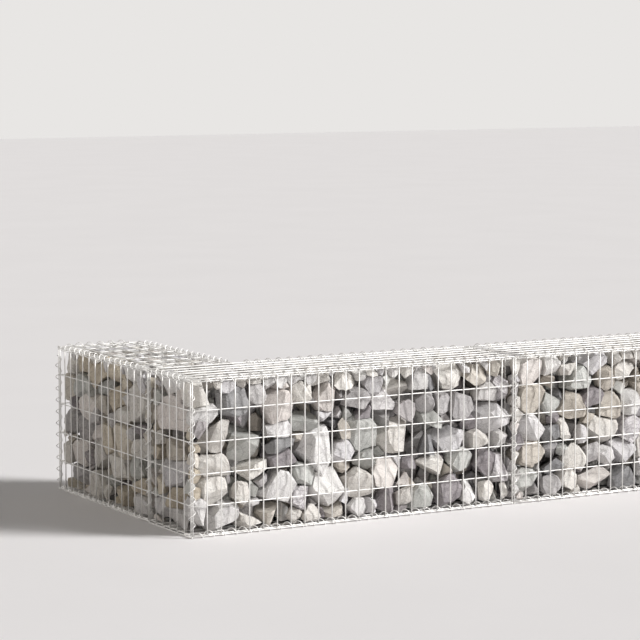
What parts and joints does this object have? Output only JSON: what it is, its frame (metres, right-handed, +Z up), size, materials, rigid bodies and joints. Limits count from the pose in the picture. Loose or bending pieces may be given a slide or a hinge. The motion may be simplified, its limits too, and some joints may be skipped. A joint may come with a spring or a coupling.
{
  "type": "gabion wall",
  "caption": "L-shaped corner of a low garden wall made of welded wire baskets filled with broken stone, laced along their edges with spiral binders.",
  "frame": {"origin": "middle of the whole wall on the ground: the centre of the bounding box's underside", "axes": "+X along the long front run, away from the corner; +Y back from the front face, along the return; +Z up"},
  "size_m": [2.4294, 1.0366, 0.5076],
  "materials": {
    "mesh_wire": "galvanised, dull silver",
    "spiral_wire": "galvanised, brighter than the mats",
    "stone": "rough broken faces, cream to purple-grey"
  },
  "bodies": {
    "root": {"bay_1_base_mat": "mesh_wire", "bay_1_front_bottom_spiral": "spiral_wire", "bay_1_front_mat": "mesh_wire", "bay_1_front_top_spiral": "spiral_wire", "bay_1_lid_mat": "mesh_wire", "bay_1_rear_bottom_spiral": "spiral_wire", "bay_1_rear_mat": "mesh_wire", "bay_1_rear_top_spiral": "spiral_wire", "bay_1_stone_fill": "stone", "bay_2_base_mat": "mesh_wire", "bay_2_front_bottom_spiral": "spiral_wire", "bay_2_front_mat": "mesh_wire", "bay_2_front_top_spiral": "spiral_wire", "bay_2_lid_mat": "mesh_wire", "bay_2_rear_bottom_spiral": "spiral_wire", "bay_2_rear_mat": "mesh_wire", "bay_2_rear_top_spiral": "spiral_wire", "bay_2_stone_fill": "stone", "corner_side_mat": "mesh_wire", "corner_side_top_spiral": "spiral_wire", "end_mat": "mesh_wire", "end_top_spiral": "spiral_wire", "front_left_spiral": "spiral_wire", "front_right_spiral": "spiral_wire", "front_seam_spiral_1": "spiral_wire", "inner_corner_spiral": "spiral_wire", "partition_mat_1": "mesh_wire", "rear_right_spiral": "spiral_wire", "rear_seam_spiral_1": "spiral_wire", "return_back_mat": "mesh_wire", "return_back_top_spiral": "spiral_wire", "return_base_mat": "mesh_wire", "return_inner_back_spiral": "spiral_wire", "return_inner_bottom_spiral": "spiral_wire", "return_inner_mat": "mesh_wire", "return_inner_top_spiral": "spiral_wire", "return_joint_spiral": "spiral_wire", "return_left_back_spiral": "spiral_wire", "return_left_bottom_spiral": "spiral_wire", "return_left_mat": "mesh_wire", "return_left_top_spiral": "spiral_wire", "return_lid_mat": "mesh_wire", "return_stone_fill": "stone"}
  },
  "joints": []
}
